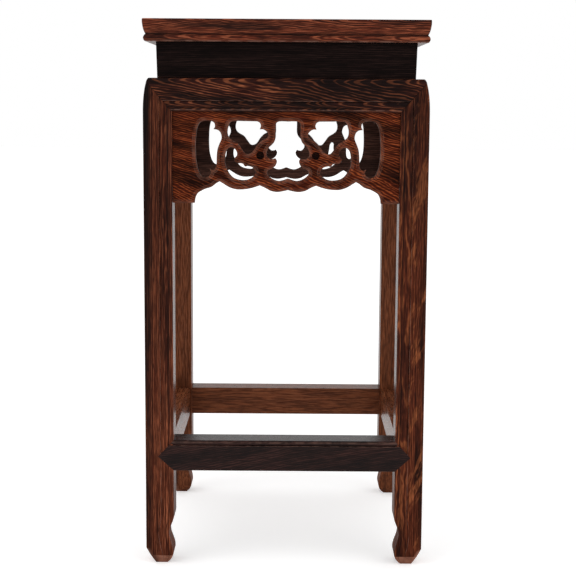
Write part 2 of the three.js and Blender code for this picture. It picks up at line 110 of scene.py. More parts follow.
def turned(points, quarter):
    # the points turned about Z by quarters of a circle
    cos, sin = [(1, 0), (0, 1), (-1, 0), (0, -1)][quarter % 4]
    x, y, z = np.asarray(points, dtype=float).T
    return np.column_stack([cos * x - sin * y, sin * x + cos * y, z])


reed = dict(depth=0.6, crown=0.8, legBead=2.5, legBand=4.3, railBead=2.1, railBand=3.4, stretcherBead=2.9)


def reedArc(start, end, steps=9):
    # a rounded reed between two places: its depth is a quadratic arc that nearly reaches the face
    t = np.linspace(0, 1, steps)
    depth = reed["depth"] * ((1 - t) ** 2 + t ** 2 - reed["crown"] * 2 * t * (1 - t))
    return np.column_stack([depth, start + (end - start) * t])


shoulder = dict(set=3.2, drop=18)


def shoulderSet(level):
    # quarter ellipse by which rails and legs draw back towards their top
    rise = np.clip((level - railTop + shoulder["drop"]) / shoulder["drop"], 0, 1)
    return shoulder["set"] * (1 - np.sqrt(1 - rise ** 2))


def barMesh(section, reach, caps, extra=()):
    # bar along X: point (k, s) = (s * reach k, depth k - half, level k) for s = -1 and s = +1; caps are the
    # faces of an end as places in the section, and extra holds points of the ends alone
    depth, level = np.vstack([section, np.array(extra).reshape(-1, 3)[:, :2]]).T
    reach = np.concatenate([reach, np.array(extra).reshape(-1, 3)[:, 2]])
    count = len(section)
    total = len(reach)
    left = np.column_stack([-reach, depth - half, level])
    right = np.column_stack([reach, depth - half, level])
    k = np.arange(count)
    following = (k + 1) % count
    faces = np.column_stack([k, k + total, following + total, following]).tolist()
    for cap in caps:
        faces.append(list(cap))
        faces.append([index + total for index in reversed(cap)])
    return np.vstack([left, right]), faces


# Framed top: four members with an ovolo over a bead

slab = dict(lean=1.2, beadHeight=3.7, notch=1.6, crown=-0.4, ovoloDepth=0.3, easeHeight=1.6, arrisHeight=0.7,
            arrisDepth=0.6, innerEase=0.12)


def quadraticArc(start, middle, end, steps):
    t = np.linspace(0, 1, steps)[:, None]
    return (1 - t) ** 2 * np.array(start) + 2 * t * (1 - t) * np.array(middle) + t ** 2 * np.array(end)


def slabSection():
    notchLevel = slabFoot + slab["beadHeight"]
    easeLevel = height - slab["easeHeight"]
    bead = quadraticArc((slab["lean"], slabFoot), (slab["crown"], slabFoot + slab["beadHeight"] / 2),
                        (slab["notch"], notchLevel), 10)
    ovoloMiddle = (slab["ovoloDepth"], (2 * notchLevel + easeLevel) / 3)
    ovolo = quadraticArc((slab["notch"], notchLevel), ovoloMiddle, (0, easeLevel), 10)
    top = quadraticArc((0, height - slab["arrisHeight"]), (0, height), (slab["arrisDepth"], height), 5)
    inner = quadraticArc((slabDepth - seam - slab["innerEase"], height), (slabDepth - seam, height),
                         (slabDepth - seam, height - slab["innerEase"]), 3)
    section = np.vstack([bead, ovolo[1:], top, inner, [[slabDepth - seam, slabFoot]]])
    arris = np.zeros(len(section))      # painted highlights at the foot and upper edge, painted shade in the notch
    arris[[0, 1]] = 0.9, 0.5
    arris[8:11] = -0.35, -1.0, -0.35
    arris[len(bead) + len(ovolo) + 1] = 0.5
    return section, arris


def makeSlab(turn, side):
    section, arris = slabSection()
    reach = half - section[:, 0] - seam
    points, faces = barMesh(section, reach, [range(len(section))])
    name = f"top_frame_{side}"
    return newPiece(f"moulded_edge_{side}", turned(points, turn), faces, name,
                    {"arris": np.tile(arris, 2)})


# Rails: shoulder, band and bead, mitred into the legs

def makeRail(turn, side):
    bandFoot = railFoot + reed["railBead"]
    bandTop = bandFoot + reed["railBand"]
    bead = reedArc(railFoot, bandFoot)
    band = reedArc(bandFoot, bandTop, 11)
    angle = np.linspace(np.arcsin((bandTop - railTop + shoulder["drop"]) / shoulder["drop"]), pi / 2, 26)
    levels = railTop - shoulder["drop"] * (1 - np.sin(angle))
    levels = np.insert(levels, 1, bandTop + 0.3)
    field = np.column_stack([np.zeros(len(levels)), levels])
    face = np.vstack([bead, band[1:], field])
    face[:, 0] += shoulderSet(face[:, 1])
    arris = np.zeros(len(face))         # painted highlights over the band and bead, painted shade in the grooves
    arris[len(bead) + len(band) - 1] = 1.0
    arris[3:5] = 0.55
    arris[len(bead) - 1] = -0.8
    arris[len(bead) + len(band) - 2] = -0.5
    # the first place behind the mitre is there twice: once out to the diagonal and once at the leg
    back = [[mitreDepth, railTop], [mitreDepth, railTop], [railDepth, railTop], [railDepth, railFoot],
            [mitreDepth, railFoot]]
    section = np.vstack([face, back])
    mitre = legInner + (section[:, 1] - railFoot) / mitreSlope
    diagonal = half - section[:, 0]
    reach = np.minimum(mitre, diagonal) - seam
    count = len(face)
    reach[count + 1:] = legInner - seam
    onDiagonal = mitre[:count] > diagonal[:count]
    crossing = int(np.argmax(onDiagonal))
    meetLevel = railFoot + (legWidth - mitreDepth) * mitreSlope
    meet = [mitreDepth, meetLevel, half - mitreDepth - seam]
    apex = len(section)
    caps = [    # the mitre to the leg, the mitre to the next rail, the step behind them and the plain end
        [*range(crossing + 1), apex, count + 4],
        [*range(crossing, count + 1), apex],
        [count, count + 1, count + 4, apex],
        [count + 1, count + 2, count + 3, count + 4],
    ]
    points, faces = barMesh(section, reach, caps, [meet])
    marks = np.concatenate([arris, np.zeros(len(section) + 1 - count)])
    return newPiece(f"moulded_rail_{side}", turned(points, turn), faces, f"rail_{side}",
                    {"arris": np.tile(marks, 2)})


# Stretchers: bead on the upper edge, pointed shoulders let into the legs

stretcher = dict(pointDepth=4, tipDrop=0.7, ease=0.35)


def makeStretcher(turn, side):
    rise = (stretcherTop - stretcherFoot) / 2
    tip = (stretcherTop + stretcherFoot) / 2 - stretcher["tipDrop"]
    ease = stretcher["ease"]
    grooveLevel = stretcherTop - reed["stretcherBead"]
    foot = quadraticArc((ease, stretcherFoot), (0, stretcherFoot), (0, stretcherFoot + ease), 4)
    bead = reedArc(grooveLevel, stretcherTop)
    flat = [[0, tip - 0.8], [0, tip], [0, tip + 0.8], [0, grooveLevel - 0.3], [0, grooveLevel]]
    face = np.vstack([foot, flat, bead])
    arris = np.zeros(len(face))         # painted highlight at foot, groove edge, bead crown; painted shade in groove
    arris[1:3] = 0.5
    arris[8] = 0.8
    arris[9] = -0.6
    arris[-5:-2] = 0.25, 0.4, 0.25
    depth = stretcherDepth
    back = [[stretcher["pointDepth"], stretcherTop], [depth, stretcherTop], [depth, stretcherFoot],
            [stretcher["pointDepth"], stretcherFoot]]
    section = np.vstack([face, back])
    count = len(face)
    level = section[:, 1]
    span = np.where(level > tip, stretcherTop - tip, tip - stretcherFoot)
    reach = legInner - seam + rise * (1 - np.abs(level - tip) / span)
    reach[count:] = legInner - seam
    apex = len(section)
    caps = [    # the two slanted shoulders that meet in the point, its flat back and the plain end
        [*range(6), apex, count + 3],
        [*range(5, count + 1), apex],
        [count + 3, apex, count],
        [count, count + 1, count + 2, count + 3],
    ]
    extra = [[stretcher["pointDepth"], tip, legInner - seam + rise]]
    points, faces = barMesh(section, reach, caps, extra)
    marks = np.concatenate([arris, np.zeros(len(section) + 1 - count)])
    return newPiece(f"pointed_stretcher_{side}", turned(points, turn), faces,
                    f"stretcher_{side}", {"arris": np.tile(marks, 2)})


# Legs: a ring of points around the section, carried up from the foot to the mitres

foot = dict(height=8.9, setOut=5, frontHeight=4.6, frontSet=2.4, bottom=11.4, heelHeight=6.2, heelWidth=14.8,
            waistHeight=17.4, waistWidth=12.5, curveTop=27)
legEase = 0.8


def smoothStep(level, low, high):
    t = np.clip((level - low) / (high - low), 0, 1)
    return t * t * (3 - 2 * t)


def footWidth(level):
    # width of the leg over its foot: a round heel, then two smooth steps up to the straight leg
    heel = np.clip(level / foot["heelHeight"], 0, 1)
    low = foot["bottom"] + (foot["heelWidth"] - foot["bottom"]) * (1 - (1 - heel) ** 2)
    first = smoothStep(level, foot["heelHeight"], foot["waistHeight"])
    second = smoothStep(level, foot["waistHeight"], foot["curveTop"])
    middle = (foot["waistWidth"] - foot["heelWidth"]) * first
    return low + middle + (legWidth - foot["waistWidth"]) * second


def legRing():
    # base places (across, along) from the outer corner, the reeds' depths there and the arris values
    beadEnd = legWidth - reed["legBead"]
    bandEnd = beadEnd - reed["legBand"]
    corner = quadraticArc((0, legEase), (0, 0), (legEase, 0), 7)
    band = reedArc(bandEnd, beadEnd, 11)
    bead = reedArc(beadEnd, legWidth, 9)
    field = [[2.5, 0], [5, 0], [bandEnd - 0.3, 0], [bandEnd - 0.02, 0]]
    places = np.vstack([field, np.column_stack([band[:, 1], 0 * band[:, 0]]),
                        np.column_stack([bead[1:, 1], 0 * bead[1:, 0]])])
    depths = np.concatenate([np.zeros(4), band[:, 0], bead[1:, 0]])
    # painted highlights at the field's edge, on the bead, on the rounded outer corner and at the inner edge;
    # painted shade in the grooves beside the band
    arris = np.zeros(len(places))
    arris[3] = 1.0
    arris[4] = -0.6
    arris[14] = -0.8
    arris[-2] = 0.3
    front = np.column_stack([places, 0 * depths, depths, arris])
    inner = [[legWidth, reed["depth"] + 0.3, 0, 0, 0.3], [legWidth, mitreDepth, 0, 0, 0],
             [legWidth, legWidth, 0, 0, 0], [mitreDepth, legWidth, 0, 0, 0],
             [reed["depth"] + 0.3, legWidth, 0, 0, 0.3]]
    sideFace = front[::-1][:, [1, 0, 3, 2, 4]]
    edge = np.column_stack([corner, np.zeros((7, 3))])
    edge[:, 4] = [0, 0.15, 0.3, 0.4, 0.3, 0.15, 0]
    return np.vstack([edge, front, inner, sideFace])


def makeLeg(corner, quarter, mirror, cornerShade, topShade):
    # the corner shade is how much painted shade darkens the rounded outer corner, the top shade the levels
    # between which painted shade darkens the leg towards its top and by how much; the facets of the foot
    # carry wear and a painted reflection of the floor, and are dull
    ring = legRing()
    a, b, reedA, reedB, arris = ring.T
    # painted shade on the rounded outer corner
    arris[:9] -= cornerShade * np.array([0.9, 1, 1, 1, 1, 1, 0.9, 0.8, 0])
    tip = (stretcherTop + stretcherFoot) / 2 - stretcher["tipDrop"]
    straight = railTop - shoulder["drop"] - 1
    levels = np.concatenate([
        np.linspace(0, foot["frontHeight"], 4), np.linspace(foot["frontHeight"] + 0.05, foot["height"], 5),
        np.linspace(foot["height"], foot["curveTop"], 16)[1:], [tip - 0.02, tip],
        np.linspace(tip, straight, 12)[1:]])

    def placed(level, on):
        # distances in from the two outer faces at the given level of each point
        lowA = shoulderSet(level) + foot["setOut"] * np.clip(1 - level / foot["height"], 0, 1)
        lowB = shoulderSet(level) + foot["frontSet"] * np.clip(1 - level / foot["frontHeight"], 0, 1)
        width = footWidth(level)
        across = lowA + (width - lowA) * a / legWidth + reedA * on + legSetBack
        along = lowB + (width - lowB) * b / legWidth + reedB * on + legSetBack
        return across, along

    rows = []
    for level in levels:
        full = np.full(len(a), level)
        rows.append(np.column_stack([*placed(full, float(level >= tip)), full]))
    # the mitre, found by halving: level = foot of the rail + (leg width - larger distance in) * slope
    mitre, high = np.full(len(a), straight), np.full(len(a), railTop)
    for _ in range(40):
        middle = (mitre + high) / 2
        across, along = placed(middle, 1.0)
        below = middle < railFoot - seam + (legWidth - np.maximum(across, along)) * mitreSlope
        mitre = np.where(below, middle, mitre)
        high = np.where(below, high, middle)
    for share in np.linspace(0, 1, 13)[1:]:
        level = straight + (mitre - straight) * share
        rows.append(np.column_stack([*placed(level, 1.0), level]))
    body = np.stack(rows)
    count = len(a)
    # the post behind the mitres goes on to the top of the rails
    meet = railFoot - seam + (legWidth - mitreDepth) * mitreSlope
    post = np.array([
        [mitreDepth, mitreDepth, meet], [legWidth, mitreDepth, railTop], [legWidth, legWidth, railTop],
        [mitreDepth, legWidth, railTop], [mitreDepth, mitreDepth, railTop]])
    points = np.vstack([body.reshape(-1, 3), post])
    x = mirror * (half - points[:, 0])
    y = -(half - points[:, 1])
    points = np.column_stack([x, y, points[:, 2]])

    n = np.arange(count)
    following = (n + 1) % count
    start = (np.arange(len(body) - 1) * count)[:, None]
    quads = np.stack([start + n, start + following, start + count + following, start + count + n], 2)
    faces = quads.reshape(-1, 4).tolist()
    last = (len(body) - 1) * count
    inner = 30      # ring places of the corner and the front face come before the inner side
    seat, heel, seatB = last + inner + 1, last + inner + 2, last + inner + 3
    e, j, k, jB, eTop = range(len(body) * count, len(body) * count + 5)
    faces += [
        list(range(count))[::-1],
        [*range(last + 3, seat + 1), e],
        [*range(seatB, last + count), *range(last, last + 4), e],
        [seat, j, eTop, e], [seat, heel, k, j], [heel, seatB, jB, k], [seatB, e, eTop, jB], [eTop, j, k, jB],
    ]
    if mirror > 0:
        faces = [face[::-1] for face in faces]
    level = body[:, :, 2]
    # painted shade: the arris values fall towards the top of the leg
    marks = np.tile(arris, (len(body), 1)) - topShade[2] * smoothStep(level, topShade[0], topShade[1])
    marks = np.concatenate([marks.ravel(), np.zeros(5)])
    # wear and a painted reflection of the floor on the low facets of the foot
    frontFacet = (level < foot["frontHeight"] + 0.01) * (b < 1)
    sideFacet = (level < foot["height"] - 0.1) * (a < 1)
    worn = np.concatenate([np.maximum(frontFacet, sideFacet).ravel() * 1.0, np.zeros(5)])
    dull = np.clip(1 - points[:, 2] / stretcherFoot, 0, 1)
    return newPiece(f"carved_leg_{corner}", turned(points, quarter), faces, f"leg_{corner}",
                    {"arris": marks, "worn": worn, "dull": dull})


# Aprons: the frame's outline with every carved edge rounded and a fine line cut beside it

apron = dict(roundWidth=1.5, roundDrop=0.8, lineAt=1.6, lineWidth=0.25, lineDepth=0.1, spacing=0.4,
             rings=(0.12, 0.35, 0.7, 1.05, 1.35, 1.6, 1.85), grid=1.1, cusp=38, eyeReach=2.6, eyeDepth=3.4)


def faceLoops(name, depth, quarter):
    # closed outlines (x, z) of a node's flat outer face, turned to the front side: they are made of the
    # edges that one triangle alone has
    mesh = nodes[name].data
    places = np.empty(len(mesh.vertices) * 3)
    mesh.vertices.foreach_get("co", places)
    world = np.array(nodes[name].matrix_world)
    places = turned((places.reshape(-1, 3) @ world[:3, :3].T + world[:3, 3]) / mm, -quarter)
    corners = np.empty(len(mesh.loops), dtype=int)
    mesh.loops.foreach_get("vertex_index", corners)
    triangles = corners.reshape(-1, 3)
    flat = np.all(np.abs(places[triangles][:, :, 1] + half - depth) < 0.01, axis=1)
    flatPlaces = places[triangles[flat]][:, :, [0, 2]].reshape(-1, 2)
    spots, index = np.unique(np.round(flatPlaces, 3), axis=0, return_inverse=True)
    index = index.reshape(-1, 3)
    edges = np.vstack([index[:, [0, 1]], index[:, [1, 2]], index[:, [2, 0]]])
    forward = edges[:, 0] * len(spots) + edges[:, 1]
    alone = edges[~np.isin(forward, edges[:, 1] * len(spots) + edges[:, 0])]
    follower = dict(alone.tolist())
    loops = []
    while follower:
        start, place = follower.popitem()
        loop = [start]
        while place != start:
            loop.append(place)
            place = follower.pop(place)
        loops.append(spots[loop])
    return loops


def isEye(loop):
    return np.ptp(loop[:, 0]) < 2 * apron["eyeReach"] and np.ptp(loop[:, 1]) < 2 * apron["eyeReach"]


def smoothLoop(loop):
    # Catmull-Rom curve through the outline, in steps of the spacing; at a cusp both sides end by themselves
    ahead = np.roll(loop, -1, 0)
    behind = np.roll(loop, 1, 0)
    bearing = np.arctan2(*(ahead - loop).T[::-1]) - np.arctan2(*(loop - behind).T[::-1])
    bend = np.abs((bearing + pi) % (2 * pi) - pi)
    cusp = (bend > radians(apron["cusp"])) & (not isEye(loop))
    first = np.where(cusp[:, None], 2 * loop - ahead, behind)
    last = np.where(np.roll(cusp, -1)[:, None], 2 * ahead - loop, np.roll(loop, -2, 0))
    parts = np.ceil(np.linalg.norm(ahead - loop, axis=1) / apron["spacing"]).astype(int)
    span = np.repeat(np.arange(len(loop)), parts)
    t = ((np.arange(len(span)) - np.repeat(np.cumsum(parts) - parts, parts)) / parts[span])[:, None]
    p, q, r, s = first[span], loop[span], ahead[span], last[span]
    square = 2 * p - 5 * q + 4 * r - s
    cube = 3 * q - p - 3 * r + s
    return 0.5 * (2 * q + (r - p) * t + square * t ** 2 + cube * t ** 3)


def outlineDistance(points, starts, ends):
    # distance of each point to the nearest of the segments
    along = ends - starts
    size = np.sum(along ** 2, axis=1)
    nearest = np.empty(len(points))
    for first in range(0, len(points), 2000):
        offset = points[first:first + 2000, None] - starts
        share = np.clip(np.sum(offset * along, axis=2) / size, 0, 1)[:, :, None]
        nearest[first:first + 2000] = np.linalg.norm(offset - share * along, axis=2).min(axis=1)
    return nearest


def insideLoops(points, starts, ends):
    # even-odd rule: a point is inside if a ray to its right crosses the outlines an odd number of times
    inside = np.zeros(len(points), dtype=bool)
    for first in range(0, len(points), 2000):
        x, z = points[first:first + 2000].T[:, :, None]
        spans = (starts[:, 1] > z) != (ends[:, 1] > z)
        rise = np.where(ends[:, 1] == starts[:, 1], 1, ends[:, 1] - starts[:, 1])
        cross = starts[:, 0] + (z - starts[:, 1]) * (ends[:, 0] - starts[:, 0]) / rise
        inside[first:first + 2000] = np.sum(spans & (cross > x), axis=1) % 2 == 1
    return inside


def filled(loops, inner):
    # triangles between closed outlines, over the inner points as well: the points, the triangles (turned
    # anticlockwise) and each outline as places among the points
    starts = np.vstack(loops)
    ends = np.vstack([np.roll(loop, -1, 0) for loop in loops])
    sizes = [len(loop) for loop in loops]
    firsts = np.cumsum([0, *sizes])
    follower = np.concatenate([np.roll(np.arange(size), -1) + first for first, size in zip(firsts, sizes)])
    edges = np.column_stack([np.arange(len(starts)), follower]).tolist()
    result = delaunay_2d_cdt([Vector(p) for p in np.vstack([starts, inner])], edges, [], 0, 1e-5)
    points = np.array([tuple(p) for p in result[0]])
    triangles = np.array(result[2])
    triangles = triangles[insideLoops(points[triangles].mean(axis=1), starts, ends)]
    place = np.zeros(len(starts) + len(inner), dtype=int)
    place[np.concatenate(result[3])] = np.repeat(np.arange(len(points)), [len(given) for given in result[3]])
    return points, triangles, [place[first:first + size] for first, size in zip(firsts, sizes)]


def apronShape(side, quarter):
    # face depth = round drop * (1 - sqrt(1 - (1 - distance / round width)^2)) near the carved edges, plus the
    # fine line, where distance is that to the nearest opening or to the lower edge
    loops = [smoothLoop(loop) for loop in faceLoops(f"apron_{side}", apronFace, quarter)]
    starts = np.vstack(loops)
    ends = np.vstack([np.roll(loop, -1, 0) for loop in loops])
    eye = np.concatenate([np.full(len(loop), isEye(loop)) for loop in loops])
    reach = np.abs(starts[:, 0]).max()
    straight = (np.minimum(starts[:, 1], ends[:, 1]) > railFoot - 0.05)
    straight |= np.minimum(np.abs(starts[:, 0]), np.abs(ends[:, 0])) > reach - 0.05
    carved = ~(straight | eye)
    carvedStarts, carvedEnds = starts[carved], ends[carved]
    along = carvedEnds - carvedStarts
    inward = np.column_stack([-along[:, 1], along[:, 0]]) / np.linalg.norm(along, axis=1)[:, None]
    middles = (carvedStarts + carvedEnds) / 2
    rings = [middles + inward * ring for ring in apron["rings"]]
    grid = np.arange(apron["grid"] / 2, reach, apron["grid"])
    levels = np.arange(starts[:, 1].min() + 0.6, railFoot - 0.3, apron["grid"])
    x, z = np.meshgrid(np.concatenate([-grid[::-1], grid]), levels)
    loose = np.column_stack([x.ravel(), z.ravel()])
    wanted = np.concatenate([np.repeat(apron["rings"], len(middles)) * 0.96, np.full(len(loose), 2.6)])
    inner = np.vstack([*rings, loose])
    keep = insideLoops(inner, starts, ends)
    keep &= np.abs(inner[:, 0]) < reach - 0.1
    inner, wanted = inner[keep], wanted[keep]
    distance = outlineDistance(inner, carvedStarts, carvedEnds)
    clear = outlineDistance(inner, starts[~carved], ends[~carved])
    points, triangles, rims = filled(loops, inner[(distance > wanted) & (clear > 0.15)])
    distance = outlineDistance(points, carvedStarts, carvedEnds)
    slope = np.clip(1 - distance / apron["roundWidth"], 0, 1)
    line = np.clip(1 - np.abs(distance - apron["lineAt"]) / apron["lineWidth"], 0, 1)
    drop = apron["roundDrop"] * (1 - np.sqrt(1 - slope ** 2)) + apron["lineDepth"] * line
    return dict(points=points, triangles=triangles, drop=drop, distance=distance, line=line, rims=rims,
                pits=[isEye(loop) for loop in loops])


def apronMesh(shape):
    # the openings go through to the back, the eyes end in a round floor
    x, z = shape["points"].T
    front = np.column_stack([x, apronFace - half + shape["drop"], z])
    rims, pits = shape["rims"], shape["pits"]
    rim = np.concatenate(rims)
    following = np.concatenate([np.roll(part, -1) for part in rims])
    inPit = np.repeat(pits, [len(part) for part in rims])
    backOf = np.zeros(len(front), dtype=int)
    backOf[rim] = len(front) + np.arange(len(rim))
    back = front[rim]
    back[:, 1] = apronFace - half + np.where(inPit, apron["eyeDepth"], apronDepth)
    walls = np.column_stack([following, rim, backOf[rim], backOf[following]])
    openRims = [part for part, pit in zip(rims, pits) if not pit]
    flatPoints, flat, flatRims = filled([shape["points"][part] for part in openRims], np.empty((0, 2)))
    flatPlace = np.zeros(len(flatPoints), dtype=int)
    flatPlace[np.concatenate(flatRims)] = backOf[np.concatenate(openRims)]
    flat = flatPlace[flat][:, ::-1]
    floors = [backOf[part][::-1].tolist() for part, pit in zip(rims, pits) if pit]
    points = np.vstack([front, back])
    faces = shape["triangles"].tolist() + walls.tolist() + flat.tolist() + floors
    # painted highlights and painted sheen with some wear on the rounded edges, in places only: they follow
    # slow sines
    glints = np.clip(np.sin(0.8 * x - 0.6 * z) + 0.4, 0, 1)
    edge = np.clip(1 - shape["distance"] / 0.45, 0, 1) * (0.15 + 0.55 * glints)
    # painted highlights on the fine line and the rounded edges; painted shade on the floors of the eyes
    arris = np.concatenate([np.maximum(0.6 * shape["line"], edge), inPit * -0.85])
    mottle = 0.27 + 0.13 * np.sin(0.37 * x + 1) * np.sin(0.43 * z) + 0.10 * np.sin(1.1 * x + 0.7 * z)
    worn = np.concatenate([(shape["distance"] < apron["roundWidth"] - 0.2) * mottle, np.zeros(len(back))])
    inner = np.repeat([0, 1, 0], [len(shape["triangles"]), len(walls) + len(flat), len(floors)])
    return points, faces, dict(arris=arris, worn=worn), inner


def makeApron(turn, side, carving):
    points, faces, marks = carving[:3]
    return newPiece(f"carved_apron_{side}", turned(points, turn), faces, f"apron_{side}", marks)


# Wood

def groupSockets(group, inputs, outputs):
    for name, kind, value in inputs:
        socket = group.interface.new_socket(name=name, in_out="INPUT", socket_type=kind)
        socket.default_value = value
    for name, kind in outputs:
        group.interface.new_socket(name=name, in_out="OUTPUT", socket_type=kind)


def calc(tree, operation, a, b=None, c=None, clamp=False):
    node = tree.nodes.new("ShaderNodeMath")
    node.operation = operation
    node.use_clamp = clamp
    for place, value in enumerate((a, b, c)):
        if value is None:
            continue
        if isinstance(value, (int, float)):
            node.inputs[place].default_value = value
        else:
            tree.links.new(value, node.inputs[place])
    return node.outputs[0]


def mixColour(tree, share, first, second, blend="MIX"):
    node = tree.nodes.new("ShaderNodeMix")
    node.data_type = "RGBA"
    node.blend_type = blend
    for socket, value in ((node.inputs[0], share), (node.inputs[6], first), (node.inputs[7], second)):
        if isinstance(value, (int, float, tuple)):
            socket.default_value = value
        else:
            tree.links.new(value, socket)
    return node.outputs[2]


def spread(tree, value, low, high):
    # smooth step from 0 at low to 1 at high
    node = tree.nodes.new("ShaderNodeMapRange")
    node.interpolation_type = "SMOOTHSTEP"
    for name, number in (("From Min", low), ("From Max", high)):
        if isinstance(number, (int, float)):
            node.inputs[name].default_value = number
        else:
            tree.links.new(number, node.inputs[name])
    tree.links.new(value, node.inputs["Value"])
    return node.outputs["Result"]


def joined(tree, x, y, z):
    node = tree.nodes.new("ShaderNodeCombineXYZ")
    for socket, value in zip(node.inputs, (x, y, z)):
        if isinstance(value, (int, float)):
            socket.default_value = value
        else:
            tree.links.new(value, socket)
    return node.outputs[0]


def noise(tree, vector, detail=2.0, roughness=0.5):
    node = tree.nodes.new("ShaderNodeTexNoise")
    node.inputs["Scale"].default_value = 1.0
    node.inputs["Detail"].default_value = detail
    node.inputs["Roughness"].default_value = roughness
    tree.links.new(vector, node.inputs["Vector"])
    return node.outputs["Fac"]


def stretched(tree, vector, across, along):
    node = tree.nodes.new("ShaderNodeMapping")
    node.inputs["Scale"].default_value = (across, across, along)
    tree.links.new(vector, node.inputs["Vector"])
    return node.outputs[0]


grain = dict(   # noise scales are per metre (across and along the grain), paces per growth layer
    ripple=(420, 130), jitterPace=0.55, jitter=1.4, fadePace=0.8, fadeReach=3.2, zonePace=0.17, zoneAlong=16,
    flame=(150, 120, 30), flameLean=45, flameEdge=-0.004, calm=0.7, streak=(1500, 110), pore=(1900, 190))


